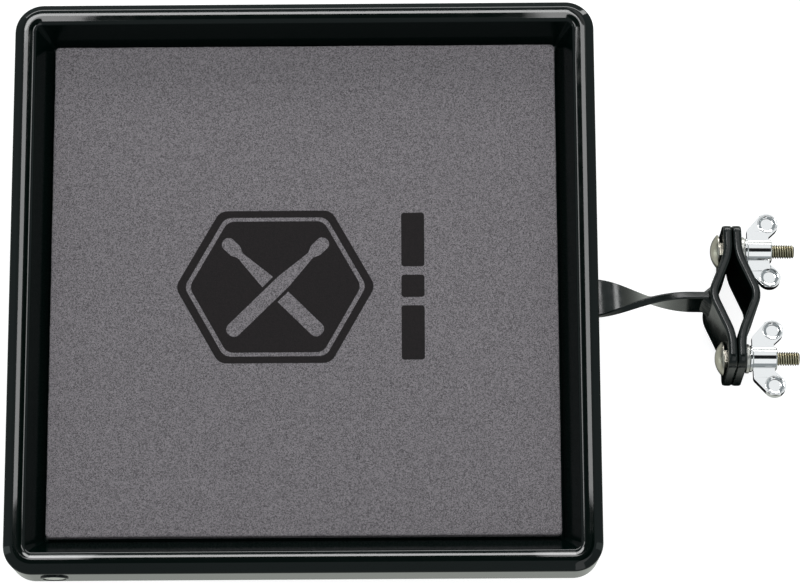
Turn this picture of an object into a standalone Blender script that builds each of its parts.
"""Clamp-on percussion tray: a padded square tray on a twisted flat bar with a pole clamp.

Metres, +Z up, +X towards the clamp. The origin is the centre of the mat's top face.
The clamp has a frame of its own, leaned about X and rolled about Y, with its origin on
the pole's axis midway between the jaws: its X is the bolts' direction, its Z the pole's.
"""

import math

import bmesh
import bpy
from mathutils import Matrix, Vector

MM = 0.001
GAP = 0.3 * MM            # clearance kept between pieces that touch
FINE = 0.00001            # merge distance

# Mat
MAT_SIDE = 263.7 * MM
MAT_THICK = 4.7 * MM
MAT_CORNER = 1.5 * MM

# Tray: insets are measured inwards from the outer side
TRAY_SIDE = 305.0 * MM
TRAY_CORNER = 15.0 * MM
TRAY_CORNER_STEPS = 6
TRAY_MIN_CORNER = 1.2 * MM
WALL = 2.2 * MM
FLOOR_TOP = -MAT_THICK - GAP
FLOOR_THICK = 2.4 * MM
FLOOR_UNDER = FLOOR_TOP - FLOOR_THICK
SKIRT_Z = -16.5 * MM
SKIRT_TAPER = 1.1 * MM
WELL_FOOT_INSET = 19.8 * MM

# The rim's arch as corners (inset, height, radius), from the well out to the skirt
RIM_LIP = (9.9 * MM, 10.4 * MM, 2.8 * MM)
RIM_ARCH = (6.36 * MM, 11.13 * MM, 15.5 * MM)
RIM_BROW = (2.75 * MM, 10.85 * MM, 3.9 * MM)
RIM_SHOULDER = (0.0, 8.2 * MM, 1.3 * MM)
RIB_WIDTH = 2.0 * MM
RIB_DEPTH = 3.5 * MM
RIB_ROOM = 0.5 * MM       # between the bar and the ribs beside it
NOTCH_SIDE_ROOM = 0.6 * MM
NOTCH_TOP_ROOM = 1.5 * MM
OVERSHOOT = 4.0 * MM      # how far a cutter runs past what it cuts

# Badge on the front wall
BADGE_X = -127.0 * MM
BADGE_Z = -3.5 * MM
BADGE_RADIUS = 7.2 * MM
BADGE_THICK = 0.8 * MM

# Support bar
BAR_WIDTH = 20.0 * MM
BAR_THICK = 4.0 * MM
BAR_EDGE = 0.6 * MM
BAR_START_X = -70.0 * MM
BAR_Y = -4.95 * MM
BAR_Z = FLOOR_UNDER - GAP - BAR_THICK / 2
TWIST_START_X = 152.2 * MM
TWIST_END_X = 202.0 * MM
CLAMP_LEAN = math.radians(7.0)
BAR_TWIST = math.radians(90.0) + CLAMP_LEAN
TWIST_STEPS = 20

# Fixing screws in a row along the bar
SCREW_XS = (-52.0 * MM, -6.0 * MM, 40.0 * MM, 86.0 * MM)
SCREW_RADIUS = 1.95 * MM
SCREW_HEAD_RADIUS = 3.8 * MM
SCREW_HEAD_DEPTH = 2.1 * MM
SCREW_HOLE_RADIUS = 2.3 * MM
SCREW_WASHER_RADIUS = 4.5 * MM
SCREW_WASHER_THICK = 0.8 * MM
SCREW_NUT_FLATS = 7.0 * MM
SCREW_NUT_THICK = 3.0 * MM
SCREW_END = 0.2 * MM      # how far a screw stands past its nut
SCREW_BORE_ROOM = 0.2 * MM

# Clamp frame: its place, and its roll about Y after the lean about X
CLAMP_X = 222.6 * MM
CLAMP_Y = -8.0 * MM
CLAMP_Z = -14.7 * MM
CLAMP_ROLL = math.radians(2.4)
WELD_RISE = 5.0 * MM      # the bar meets the jaw this far above the jaw's middle

# Clamp jaws
JAW_WIDTH = 38.1 * MM
JAW_THICK = 4.6 * MM
JAW_HALF_LENGTH = 39.7 * MM
JAW_BEND_Y = 22.9 * MM
JAW_APEX_X = 11.85 * MM
JAW_APEX_BEND = 12.6 * MM
JAW_LUG_BEND = 30.0 * MM
JAW_CORNER = 5.2 * MM
JAW_EDGE = 0.7 * MM
JAW_SEAT = 1.1 * MM       # room under heads and washers, which sit on the bends
WELD_RADIUS = 1.7 * MM
WELD_RIPPLE = 0.1
JAW_MID_X = (JAW_THICK + GAP) / 2
JAW_FACE_X = JAW_MID_X + JAW_THICK / 2

# Clamp bolts
BOLT_Y = 30.1 * MM
BOLT_Z = 1.2 * MM
BOLT_RADIUS = 3.6 * MM
BOLT_END_X = 33.9 * MM
BOLT_HEAD_RADIUS = 8.65 * MM
BOLT_HEAD_HEIGHT = 4.2 * MM
BOLT_NECK_SIDE = 7.2 * MM
BOLT_NECK_LENGTH = 4.4 * MM
NECK_ROOM = 0.4 * MM
NECK_OVERLAP = 0.2 * MM   # how far the square neck runs into the head
BOLT_HOLE_RADIUS = 4.1 * MM
WASHER_RADIUS = 7.6 * MM
WASHER_THICK = 1.8 * MM
WASHER_X = JAW_FACE_X + JAW_SEAT

# Wing nuts: u runs along the axis from the base, v away from it
NUT_X = WASHER_X + WASHER_THICK + GAP
NUT_LENGTH = 14.2 * MM
NUT_HUB_RADIUS = 6.15 * MM
NUT_FLANGE_RADIUS = 6.9 * MM
NUT_FLANGE_LENGTH = 1.3 * MM
NUT_BORE_RADIUS = 3.95 * MM
WING_THICK = 3.6 * MM
WING_ROOT_V = (NUT_HUB_RADIUS + NUT_BORE_RADIUS) / 2
WING_SIDE_U = 1.75 * MM
WING_SHOULDER_V = 11.6 * MM
WING_NECK_U = 12.9 * MM
WING_NECK_V = 7.4 * MM
WING_EYE_U = 12.6 * MM
WING_EYE_V = 15.1 * MM
WING_EYE_RADIUS = 5.85 * MM
DISH_RADIUS = 4.6 * MM
DISH_DEPTH = 0.8 * MM


# ---------------------------------------------------------------- scene helpers

def clear_scene():
    for old in list(bpy.data.objects):
        bpy.data.objects.remove(old)


def new_collection(name):
    group = bpy.data.collections.new(name)
    bpy.context.scene.collection.children.link(group)
    return group


def new_material(name, colour, roughness, metallic=0.0):
    material = bpy.data.materials.new(name)
    material.use_nodes = True
    shader = material.node_tree.nodes["Principled BSDF"]
    shader.inputs["Base Color"].default_value = (*colour, 1.0)
    shader.inputs["Roughness"].default_value = roughness
    shader.inputs["Metallic"].default_value = metallic
    return material


def place(name, mesh, group, material=None, parent=None, at=(0, 0, 0), turn=(0, 0, 0)):
    piece = bpy.data.objects.new(name, mesh)
    group.objects.link(piece)
    piece.location = at
    piece.rotation_euler = turn
    piece.parent = parent
    if material:
        mesh.materials.append(material)
    return piece


def finish_mesh(bm, name, sharp_angle=35.0):
    bmesh.ops.recalc_face_normals(bm, faces=bm.faces)
    mesh = bpy.data.meshes.new(name)
    bm.to_mesh(mesh)
    bm.free()
    mesh.shade_smooth()
    mesh.set_sharp_from_angle(angle=math.radians(sharp_angle))
    return mesh


# ---------------------------------------------------------------- outlines

def rounded_path(corners, closed=False, step=math.radians(18)):
    """Turn corners (a, b, radius) into a polyline whose corners are arcs."""
    count = len(corners)
    path = []
    for index, (a, b, radius) in enumerate(corners):
        here = Vector((a, b))
        is_end = not closed and index in (0, count - 1)
        if is_end or radius == 0:
            path.append(here)
            continue
        before = (Vector(corners[index - 1][:2]) - here).normalized()
        after = (Vector(corners[(index + 1) % count][:2]) - here).normalized()
        half_angle = before.angle(after) / 2
        centre = here + (before + after).normalized() * radius / math.sin(half_angle)
        start = here + before * radius / math.tan(half_angle) - centre
        end = here + after * radius / math.tan(half_angle) - centre
        sweep = start.angle_signed(end)
        steps = max(1, round(abs(sweep) / step))
        for part in range(steps + 1):
            turn = Matrix.Rotation(-sweep * part / steps, 2)
            path.append(centre + turn @ start)
    return path


def rounded_square(half, radius, z, steps):
    points = []
    for quarter in range(4):
        start = quarter * math.pi / 2
        middle = start + math.pi / 4
        reach = (half - radius) * math.sqrt(2)
        centre = Vector((math.cos(middle), math.sin(middle))) * reach
        for step in range(steps + 1):
            angle = start + step / steps * math.pi / 2
            x = centre.x + radius * math.cos(angle)
            y = centre.y + radius * math.sin(angle)
            points.append(Vector((x, y, z)))
    return points


def loft(rings, name, sharp_angle=35.0):
    """Join rings of equal length into a tube and close it with a face at each end."""
    bm = bmesh.new()
    loops = [[bm.verts.new(point) for point in ring] for ring in rings]
    size = len(loops[0])
    for lower, upper in zip(loops, loops[1:]):
        for i in range(size):
            j = (i + 1) % size
            bm.faces.new((lower[i], lower[j], upper[j], upper[i]))
    bm.faces.new(loops[0])
    bm.faces.new(loops[-1])
    return finish_mesh(bm, name, sharp_angle)


def flat_solid(outline, thickness, name):
    """A closed outline in local XY, filled and given a thickness along local Z."""
    curve = bpy.data.curves.new(name, "CURVE")
    curve.dimensions = "2D"
    curve.fill_mode = "BOTH"
    curve.extrude = thickness / 2
    line = curve.splines.new("POLY")
    line.points.add(len(outline) - 1)
    for point, (x, y) in zip(line.points, outline):
        point.co = (x, y, 0, 1)
    line.use_cyclic_u = True
    holder = bpy.data.objects.new(name, curve)
    bpy.context.scene.collection.objects.link(holder)
    bpy.context.view_layer.update()
    evaluated = holder.evaluated_get(bpy.context.evaluated_depsgraph_get())
    bm = bmesh.new()
    bm.from_mesh(bpy.data.meshes.new_from_object(evaluated))
    bmesh.ops.remove_doubles(bm, verts=bm.verts, dist=FINE)
    bpy.data.objects.remove(holder)
    return finish_mesh(bm, name)


def box_mesh(size, name):
    bm = bmesh.new()
    bmesh.ops.create_cube(bm, size=1.0)
    bmesh.ops.scale(bm, vec=size, verts=bm.verts)
    return finish_mesh(bm, name)


def cylinder_mesh(radius, length, name, segments=32):
    bm = bmesh.new()
    bmesh.ops.create_cone(
        bm, cap_ends=True, segments=segments, radius1=radius, radius2=radius, depth=length)
    return finish_mesh(bm, name)


def profile_mesh(profile, name, closed=False):
    """A profile (radius, height) in the XZ plane, ready for a Screw modifier."""
    bm = bmesh.new()
    points = [bm.verts.new((radius, 0, height)) for radius, height in profile]
    ends = points[1:] + points[:1] if closed else points[1:]
    for start, end in zip(points, ends):
        bm.edges.new((start, end))
    mesh = bpy.data.meshes.new(name)
    bm.to_mesh(mesh)
    bm.free()
    return mesh


def ring_profile(inner, outer, thickness, edge=0.0):
    """The closed section of a flat ring, from z = 0 up, with its outer edges cut."""
    if edge == 0:
        return [(inner, thickness), (outer, thickness), (outer, 0), (inner, 0)]
    return [
        (inner, thickness),
        (outer - edge, thickness),
        (outer, thickness - edge),
        (outer, edge),
        (outer - edge, 0),
        (inner, 0),
    ]


def add_turning(piece, segments):
    screw = piece.modifiers.new("turning", "SCREW")
    screw.steps = segments
    screw.render_steps = segments
    screw.use_merge_vertices = True
    screw.merge_threshold = FINE
    screw.use_smooth_shade = True
    return screw


def add_bevel(piece, width, segments=2, angle=40.0):
    bevel = piece.modifiers.new("edges", "BEVEL")
    bevel.width = width
    bevel.segments = segments
    bevel.limit_method = "ANGLE"
    bevel.angle_limit = math.radians(angle)
    return bevel


def add_boolean(piece, other, operation):
    boolean = piece.modifiers.new(operation.lower(), "BOOLEAN")
    boolean.operation = operation
    boolean.solver = "EXACT"
    boolean.object = other
    return boolean


def as_cutter(piece):
    piece.hide_render = True
    piece.display_type = "WIRE"
    return piece


# ---------------------------------------------------------------- tray

def tray_profile():
    """The wall's section from the well's floor, over the rim, to the floor's underside."""
    foot = Vector((WELL_FOOT_INSET, FLOOR_TOP))
    slope = (Vector(RIM_LIP[:2]) - foot).normalized()
    back = foot - WALL * Vector((slope.y, -slope.x))

    def back_at(z):
        return back.x + (z - back.y) * slope.x / slope.y

    inner_z = RIM_BROW[1] - 1.2 * WALL
    inner_shoulder_z = RIM_SHOULDER[1] - 1.2 * WALL
    corners = [
        (WELL_FOOT_INSET + 2.0 * MM, FLOOR_TOP, 0),
        (WELL_FOOT_INSET, FLOOR_TOP, 1.4 * MM),
        RIM_LIP,
        RIM_ARCH,
        RIM_BROW,
        RIM_SHOULDER,
        (SKIRT_TAPER, SKIRT_Z, 0.5 * MM),
        (SKIRT_TAPER + WALL, SKIRT_Z, 0.3 * MM),
        (WALL, inner_shoulder_z, 1.0 * MM),
        (5.0 * MM, inner_z, 0),
        (back_at(inner_z), inner_z, 0.6 * MM),
        (back_at(FLOOR_UNDER), FLOOR_UNDER, 0.6 * MM),
        (back_at(FLOOR_UNDER) + 2.0 * MM, FLOOR_UNDER, 0),
    ]
    return rounded_path(corners)


def make_tray(parts, cutters, material, screw_places):
    rings = []
    for inset, z in tray_profile():
        half = TRAY_SIDE / 2 - inset
        corner = max(TRAY_CORNER - inset, TRAY_MIN_CORNER)
        rings.append(rounded_square(half, corner, z, TRAY_CORNER_STEPS))
    tray = place("tray_shell", loft(rings, "tray_shell"), parts, material)

    rib_start = BAR_START_X - 2 * RIB_WIDTH
    rib_end = TRAY_SIDE / 2 - WELL_FOOT_INSET
    rib_length = rib_end - rib_start
    rib_height = RIB_DEPTH + FLOOR_THICK / 2
    rib_z = FLOOR_UNDER - RIB_DEPTH + rib_height / 2
    side = BAR_WIDTH / 2 + RIB_ROOM + RIB_WIDTH / 2
    for label, y in (("rear", BAR_Y + side), ("front", BAR_Y - side)):
        mesh = box_mesh((rib_length, RIB_WIDTH, rib_height), "rib_" + label)
        at = ((rib_start + rib_end) / 2, y, rib_z)
        rib = as_cutter(place("rib_" + label, mesh, cutters, at=at))
        add_boolean(tray, rib, "UNION")
    stop_size = (RIB_WIDTH, 2 * side, rib_height)
    at = (rib_start + RIB_WIDTH / 2, BAR_Y, rib_z)
    stop = as_cutter(place("rib_stop", box_mesh(stop_size, "rib_stop"), cutters, at=at))
    add_boolean(tray, stop, "UNION")

    notch_top = BAR_Z + BAR_THICK / 2 + NOTCH_TOP_ROOM
    notch_height = notch_top - SKIRT_Z + OVERSHOOT
    notch_size = (3 * WALL, BAR_WIDTH + 2 * NOTCH_SIDE_ROOM, notch_height)
    at = (TRAY_SIDE / 2 - WALL, BAR_Y, notch_top - notch_height / 2)
    notch = as_cutter(place("bar_notch", box_mesh(notch_size, "bar_notch"), cutters, at=at))
    add_boolean(tray, notch, "DIFFERENCE")

    for index, (x, y) in enumerate(screw_places):
        sink = profile_mesh(countersink_profile(GAP / 2, FLOOR_THICK + OVERSHOOT), "screw_sink")
        at = (x, y, FLOOR_TOP)
        cutter = as_cutter(place(f"screw_sink_{index + 1}", sink, cutters, at=at))
        add_turning(cutter, 24)
        add_boolean(tray, cutter, "DIFFERENCE")
    return tray


def make_mat(parts, material):
    steps = 4
    top_edge = 0.6 * MM
    half = MAT_SIDE / 2
    rings = [
        rounded_square(half, MAT_CORNER, -MAT_THICK, steps),
        rounded_square(half, MAT_CORNER, -top_edge, steps),
        rounded_square(half - 0.25 * top_edge, MAT_CORNER, -0.3 * top_edge, steps),
        rounded_square(half - top_edge, MAT_CORNER - top_edge, 0, steps),
    ]
    return place("pad_mat", loft(rings, "pad_mat"), parts, material)


def front_wall_y(z):
    """Y of the front wall's outer face at a height."""
    part = (RIM_SHOULDER[1] - z) / (RIM_SHOULDER[1] - SKIRT_Z)
    return -(TRAY_SIDE / 2 - SKIRT_TAPER * part)


def make_badge(parts, material):
    lean = math.atan(SKIRT_TAPER / (RIM_SHOULDER[1] - SKIRT_Z))
    edge = 0.3 * MM
    profile = [
        (0, BADGE_THICK),
        (BADGE_RADIUS - edge, BADGE_THICK),
        (BADGE_RADIUS, BADGE_THICK - edge),
        (BADGE_RADIUS, 0),
        (0, 0),
    ]
    at = (BADGE_X, front_wall_y(BADGE_Z) - GAP, BADGE_Z)
    turn = (math.pi / 2 + lean, 0, 0)
    badge = place("badge", profile_mesh(profile, "badge"), parts, material, at=at, turn=turn)
    add_turning(badge, 32)
    return badge


# ---------------------------------------------------------------- bar and its screws

def bar_turn(x):
    """The bar's turn about X at a station: flat under the tray, on edge at the clamp."""
    part = (x - TWIST_START_X) / (TWIST_END_X - TWIST_START_X)
    part = min(max(part, 0.0), 1.0)
    return -BAR_TWIST * math.sin(math.pi / 2 * part)


def bar_centre(x):
    """The bar's middle line, which drifts from its seat under the tray to the weld."""
    start = Vector((TWIST_START_X, BAR_Y, BAR_Z))
    end = clamp_matrix() @ Vector((-jaw_apex_reach() - GAP, 0, WELD_RISE))
    part = min(max((x - start.x) / (end.x - start.x), 0.0), 1.0)
    centre = start.lerp(end, part * part * (3 - 2 * part))
    return Vector((x, centre.y, centre.z))


def bar_outline(shrink=0.0):
    """The bar's section as (y, z) points while it lies flat."""
    half_y = BAR_WIDTH / 2 - shrink
    half_z = BAR_THICK / 2 - shrink
    corners = [
        (half_y, half_z, BAR_EDGE),
        (-half_y, half_z, BAR_EDGE),
        (-half_y, -half_z, BAR_EDGE),
        (half_y, -half_z, BAR_EDGE),
    ]
    return rounded_path(corners, closed=True, step=math.radians(45))


def bar_section(x, shrink=0.0):
    turn = Matrix.Rotation(bar_turn(x), 3, "X")
    return [bar_centre(x) + turn @ Vector((0, y, z)) for y, z in bar_outline(shrink)]


def bar_weld_section():
    """The bar's end, cut square to the clamp frame so that it meets the jaw's back."""
    x = -jaw_apex_reach() - GAP
    return [clamp_matrix() @ Vector((x, z, WELD_RISE - y)) for y, z in bar_outline()]


def make_bar(parts, cutters, material, screw_places):
    stations = [BAR_START_X + BAR_EDGE]
    for step in range(TWIST_STEPS + 1):
        stations.append(TWIST_START_X + (TWIST_END_X - TWIST_START_X) * step / TWIST_STEPS)
    rings = [bar_section(BAR_START_X, BAR_EDGE / 2)]
    rings += [bar_section(x) for x in stations]
    rings.append(bar_weld_section())
    bar = place("support_bar", loft(rings, "support_bar"), parts, material)
    for index, (x, y) in enumerate(screw_places):
        mesh = cylinder_mesh(SCREW_HOLE_RADIUS, BAR_THICK + OVERSHOOT, "bar_hole", 20)
        hole = place(f"bar_hole_{index + 1}", mesh, cutters, at=(x, y, BAR_Z))
        add_boolean(bar, as_cutter(hole), "DIFFERENCE")
    return bar


def countersink_profile(clearance, length):
    """A countersunk screw's outline from its head's flat top down, heights from the top."""
    head = SCREW_HEAD_RADIUS + clearance
    shank = SCREW_RADIUS + clearance
    rise = clearance * 3
    return [
        (0, rise),
        (head, rise),
        (head, -0.25 * MM - clearance),
        (shank, -SCREW_HEAD_DEPTH - clearance),
        (shank, -length),
        (0, -length),
    ]


def make_screws(parts, material, screw_places):
    washer_top = BAR_Z - BAR_THICK / 2 - GAP
    nut_top = washer_top - SCREW_WASHER_THICK - GAP
    head_top = FLOOR_TOP - GAP / 2
    length = head_top - (nut_top - SCREW_NUT_THICK) + SCREW_END
    for index, (x, y) in enumerate(screw_places):
        number = str(index + 1)
        mesh = profile_mesh(countersink_profile(0, length), "fixing_screw")
        screw = place("fixing_screw_" + number, mesh, parts, material, at=(x, y, head_top))
        add_turning(screw, 20)

        bore = SCREW_RADIUS + SCREW_BORE_ROOM
        ring = ring_profile(bore, SCREW_WASHER_RADIUS, SCREW_WASHER_THICK)
        mesh = profile_mesh(ring, "fixing_washer", closed=True)
        at = (x, y, washer_top - SCREW_WASHER_THICK)
        washer = place("fixing_washer_" + number, mesh, parts, material, at=at)
        add_turning(washer, 20)

        mesh = hex_nut_mesh(bore)
        at = (x, y, nut_top - SCREW_NUT_THICK)
        place("fixing_nut_" + number, mesh, parts, material, at=at)


def hex_nut_mesh(bore):
    """A hexagon with a round bore, from z = 0 up."""
    segments = 12
    rings = []
    corner_radius = SCREW_NUT_FLATS / math.sqrt(3)
    for z, is_bore in ((0, True), (0, False), (SCREW_NUT_THICK, False), (SCREW_NUT_THICK, True)):
        ring = []
        for i in range(segments):
            angle = 2 * math.pi * i / segments
            within = (angle + math.pi / 6) % (math.pi / 3) - math.pi / 6
            flat = corner_radius * math.cos(math.pi / 6) / math.cos(math.pi / 6 - abs(within))
            reach = bore if is_bore else flat
            ring.append(Vector((reach * math.cos(angle), reach * math.sin(angle), z)))
        rings.append(ring)
    bm = bmesh.new()
    loops = [[bm.verts.new(point) for point in ring] for ring in rings]
    for lower, upper in zip(loops, loops[1:] + loops[:1]):
        for i in range(segments):
            j = (i + 1) % segments
            bm.faces.new((lower[i], lower[j], upper[j], upper[i]))
    return finish_mesh(bm, "fixing_nut")


# ---------------------------------------------------------------- clamp

def clamp_matrix():
    turn = Matrix.Rotation(CLAMP_ROLL, 4, "Y") @ Matrix.Rotation(-CLAMP_LEAN, 4, "X")
    return Matrix.Translation((CLAMP_X, CLAMP_Y, CLAMP_Z)) @ turn


def jaw_path():
    """The strip's middle line in the clamp frame's XY plane, bulging towards +X."""
    corners = [
        (JAW_MID_X, JAW_HALF_LENGTH, 0),
        (JAW_MID_X, JAW_BEND_Y, JAW_LUG_BEND),
        (JAW_APEX_X, 0, JAW_APEX_BEND),
        (JAW_MID_X, -JAW_BEND_Y, JAW_LUG_BEND),
        (JAW_MID_X, -JAW_HALF_LENGTH, 0),
    ]
    return rounded_path(corners, step=math.radians(5.6))


def jaw_apex_reach():
    """How far the strip's outer face stands from the pole's axis at its apex."""
    return max(point.x for point in jaw_path()) + JAW_THICK / 2


def jaw_mesh(side, name):
    """The strip's middle surface: side is +1 for the outer jaw and -1 for the inner."""
    bm = bmesh.new()
    rails = []
    for z in (-JAW_WIDTH / 2, JAW_WIDTH / 2):
        rails.append([bm.verts.new((side * p.x, p.y, z)) for p in jaw_path()])
    low, high = rails
    for i in range(len(low) - 1):
        corners = (low[i], low[i + 1], high[i + 1], high[i])
        bm.faces.new(corners if side > 0 else corners[::-1])
    mesh = bpy.data.meshes.new(name)
    bm.to_mesh(mesh)
    bm.free()
    return mesh


def make_jaw(name, side, frame, parts, cutters, material):
    jaw = place(name, jaw_mesh(side, name), parts, material, parent=frame)
    shell = jaw.modifiers.new("thickness", "SOLIDIFY")
    shell.thickness = JAW_THICK
    shell.offset = 0
    shell.use_even_offset = True

    y = JAW_HALF_LENGTH + FINE
    z = JAW_WIDTH / 2 + FINE
    ends = [(y, z, JAW_CORNER), (-y, z, JAW_CORNER), (-y, -z, JAW_CORNER), (y, -z, JAW_CORNER)]
    outline = rounded_path(ends, closed=True, step=math.radians(15))
    blank = flat_solid(outline, 4 * JAW_APEX_X, name + "_blank")
    blank.transform(Matrix(((0, 0, 1, 0), (1, 0, 0, 0), (0, 1, 0, 0), (0, 0, 0, 1))))
    trim = as_cutter(place(name + "_blank", blank, cutters, parent=frame))
    add_boolean(jaw, trim, "INTERSECT")

    for label, y in (("upper", BOLT_Y), ("lower", -BOLT_Y)):
        if side > 0:
            mesh = cylinder_mesh(BOLT_HOLE_RADIUS, 4 * JAW_THICK, "hole", 28)
        else:
            width = BOLT_NECK_SIDE + 2 * NECK_ROOM
            mesh = box_mesh((width, width, 4 * JAW_THICK), "hole")
        at = (side * JAW_MID_X, y, BOLT_Z)
        turn = (0, math.pi / 2, 0)
        hole = place(f"{name}_{label}_hole", mesh, cutters, parent=frame, at=at, turn=turn)
        add_boolean(jaw, as_cutter(hole), "DIFFERENCE")
    add_bevel(jaw, JAW_EDGE)
    return jaw


def weld_radius(part):
    """The bead's radius along its length, 0 to 1: tapered ends and shallow ripples."""
    body = 1.0 - abs(2 * part - 1) ** 6
    ripple = WELD_RIPPLE * math.sin(part * 5 * 2 * math.pi)
    return WELD_RADIUS * (0.4 + 0.6 * body + ripple * body)


def make_weld(name, side, frame, parts, material):
    """A lumpy bead in the corner between the bar's side and the jaw's back."""
    steps = 20
    sides = 8
    length = BAR_WIDTH - 2 * BAR_EDGE
    biggest = WELD_RADIUS * (1 + WELD_RIPPLE)
    x = -jaw_apex_reach() - GAP / 2 - biggest
    y = side * (BAR_THICK / 2 + GAP / 2 + biggest)
    rings = []
    for step in range(steps + 1):
        part = step / steps
        radius = weld_radius(part)
        z = WELD_RISE + length * (part - 0.5)
        ring = []
        for i in range(sides):
            angle = 2 * math.pi * i / sides
            ring.append(Vector((x + radius * math.cos(angle), y + radius * math.sin(angle), z)))
        rings.append(ring)
    return place(name, loft(rings, name, 60.0), parts, material, parent=frame)


def bolt_profile():
    """Head, shank and pointed end along +Z, which becomes the bolt's +X."""
    head_x = -JAW_FACE_X - JAW_SEAT
    dome_steps = 7
    sphere = (BOLT_HEAD_RADIUS ** 2 + BOLT_HEAD_HEIGHT ** 2) / (2 * BOLT_HEAD_HEIGHT)
    edge_angle = math.asin(BOLT_HEAD_RADIUS / sphere)
    point = 0.9 * MM
    profile = [
        (0, BOLT_END_X),
        (BOLT_RADIUS - point, BOLT_END_X),
        (BOLT_RADIUS, BOLT_END_X - point),
        (BOLT_RADIUS, head_x),
        (BOLT_HEAD_RADIUS, head_x),
    ]
    for step in range(1, dome_steps + 1):
        angle = edge_angle * (1 - step / dome_steps)
        height = sphere * math.cos(angle) - (sphere - BOLT_HEAD_HEIGHT)
        profile.append((sphere * math.sin(angle), head_x - height))
    profile[-1] = (0, profile[-1][1])
    return profile


def make_bolt(label, y, frame, parts, cutters, material):
    name = "carriage_bolt_" + label
    turn = (0, math.pi / 2, 0)
    bolt = place(name, profile_mesh(bolt_profile(), name), parts, material,
                 parent=frame, at=(0, y, BOLT_Z), turn=turn)
    add_turning(bolt, 28)
    size = (BOLT_NECK_SIDE, BOLT_NECK_SIDE, BOLT_NECK_LENGTH)
    neck_x = -JAW_FACE_X - JAW_SEAT - NECK_OVERLAP + BOLT_NECK_LENGTH / 2
    neck = place(name + "_neck", box_mesh(size, "neck"), cutters,
                 parent=frame, at=(neck_x, y, BOLT_Z), turn=turn)
    add_boolean(bolt, as_cutter(neck), "UNION")
    return bolt


def make_washer(label, y, frame, parts, material):
    name = "washer_" + label
    ring = ring_profile(NUT_BORE_RADIUS, WASHER_RADIUS, WASHER_THICK, 0.3 * MM)
    mesh = profile_mesh(ring, name, closed=True)
    washer = place(name, mesh, parts, material, parent=frame,
                   at=(WASHER_X, y, BOLT_Z), turn=(0, math.pi / 2, 0))
    add_turning(washer, 28)
    return washer


def tangent_angle(point, centre, radius, side):
    """Where the line from a point touches a circle, on the side given by +1 or -1."""
    away = Vector(point) - Vector(centre)
    swing = math.acos(radius / away.length)
    return math.atan2(away.y, away.x) + side * swing


def wing_outline():
    """One wing in (u, v): a straight root that leans out to a round eye."""
    eye = (WING_EYE_U, WING_EYE_V)
    shoulder = (WING_SIDE_U, WING_SHOULDER_V)
    neck = (WING_NECK_U, WING_NECK_V)
    start = tangent_angle(shoulder, eye, WING_EYE_RADIUS, -1) % (2 * math.pi)
    end = tangent_angle(neck, eye, WING_EYE_RADIUS, 1)
    steps = 14
    points = [(WING_SIDE_U, WING_ROOT_V), shoulder]
    for step in range(steps + 1):
        angle = start + (end - start) * step / steps
        u = WING_EYE_U + WING_EYE_RADIUS * math.cos(angle)
        v = WING_EYE_V + WING_EYE_RADIUS * math.sin(angle)
        points.append((u, v))
    points += [neck, (WING_NECK_U, WING_ROOT_V)]
    return points


def hub_profile():
    """The hub's closed section (radius, height along the axis)."""
    edge = 0.6 * MM
    return [
        (NUT_BORE_RADIUS, NUT_LENGTH),
        (NUT_HUB_RADIUS - edge, NUT_LENGTH),
        (NUT_HUB_RADIUS, NUT_LENGTH - edge),
        (NUT_HUB_RADIUS, NUT_FLANGE_LENGTH + edge),
        (NUT_FLANGE_RADIUS, NUT_FLANGE_LENGTH),
        (NUT_FLANGE_RADIUS, edge),
        (NUT_FLANGE_RADIUS - edge, 0),
        (NUT_BORE_RADIUS, 0),
    ]


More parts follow.
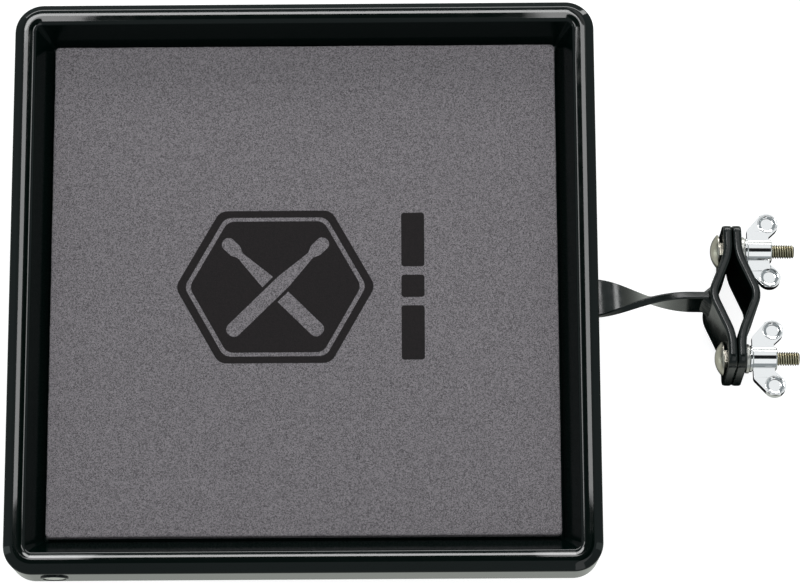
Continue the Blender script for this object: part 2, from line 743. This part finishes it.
def make_wing_nut(label, y, frame, parts, cutters, material):
    name = "wing_nut_" + label
    spindle = bpy.data.objects.new(name + "_axis", None)
    parts.objects.link(spindle)
    spindle.parent = frame
    spindle.location = (NUT_X, y, BOLT_Z)

    hub = profile_mesh(hub_profile(), name, closed=True)
    nut = place(name, hub, parts, material, parent=spindle, turn=(0, math.pi / 2, 0))
    add_turning(nut, 32)

    for side in (1, -1):
        outline = [(u, side * v) for u, v in wing_outline()]
        wing = flat_solid(outline, WING_THICK, name + "_wing")
        tag = "a" if side > 0 else "b"
        blade = place(f"{name}_wing_{tag}", wing, cutters, parent=spindle)
        add_bevel(blade, 0.7 * MM, 1, 30.0)
        add_boolean(nut, as_cutter(blade), "UNION")
    ball = (DISH_RADIUS ** 2 + DISH_DEPTH ** 2) / (2 * DISH_DEPTH)
    for side in (1, -1):
        for face in (1, -1):
            bm = bmesh.new()
            bmesh.ops.create_uvsphere(bm, u_segments=20, v_segments=36, radius=ball)
            keep = ball - 1.6 * DISH_DEPTH
            low = [v for v in bm.verts if v.co.z * face > -keep]
            bmesh.ops.delete(bm, geom=low, context="VERTS")
            bmesh.ops.holes_fill(bm, edges=[e for e in bm.edges if e.is_boundary])
            cap = finish_mesh(bm, "dish")
            z = face * (WING_THICK / 2 - DISH_DEPTH + ball)
            tag = f"{'a' if side > 0 else 'b'}{'front' if face > 0 else 'back'}"
            at = (WING_EYE_U, side * WING_EYE_V, z)
            dish = place(f"{name}_dish_{tag}", cap, cutters, parent=spindle, at=at)
            add_boolean(nut, as_cutter(dish), "DIFFERENCE")
    return nut


def make_clamp(parts, cutters, paint, zinc, chrome):
    frame = bpy.data.objects.new("clamp_frame", None)
    parts.objects.link(frame)
    frame.location = clamp_matrix().to_translation()
    frame.rotation_euler = clamp_matrix().to_euler()

    make_jaw("inner_jaw", -1, frame, parts, cutters, paint)
    make_jaw("outer_jaw", 1, frame, parts, cutters, paint)
    make_weld("weld_rear", 1, frame, parts, paint)
    make_weld("weld_front", -1, frame, parts, paint)
    for label, y in (("upper", BOLT_Y), ("lower", -BOLT_Y)):
        make_bolt(label, y, frame, parts, cutters, zinc)
        make_washer(label, y, frame, parts, zinc)
        make_wing_nut(label, y, frame, parts, cutters, chrome)
    return frame


# ---------------------------------------------------------------- whole object

def main():
    clear_scene()
    parts = new_collection("percussion_tray")
    cutters = new_collection("cutters")

    black_plastic = new_material("black_plastic", (0.008, 0.010, 0.010), 0.12)
    grey_mat = new_material("grey_mat", (0.16, 0.155, 0.16), 0.9)
    silver_badge = new_material("silver_badge", (0.6, 0.6, 0.58), 0.3, 1.0)
    black_paint = new_material("black_paint", (0.010, 0.012, 0.012), 0.3)
    zinc = new_material("zinc", (0.55, 0.52, 0.44), 0.35, 1.0)
    chrome = new_material("chrome", (0.75, 0.75, 0.76), 0.08, 1.0)

    screw_places = [(x, BAR_Y) for x in SCREW_XS]
    make_tray(parts, cutters, black_plastic, screw_places)
    make_mat(parts, grey_mat)
    make_badge(parts, silver_badge)
    make_bar(parts, cutters, black_paint, screw_places)
    make_screws(parts, zinc, screw_places)
    make_clamp(parts, cutters, black_paint, zinc, chrome)


main()
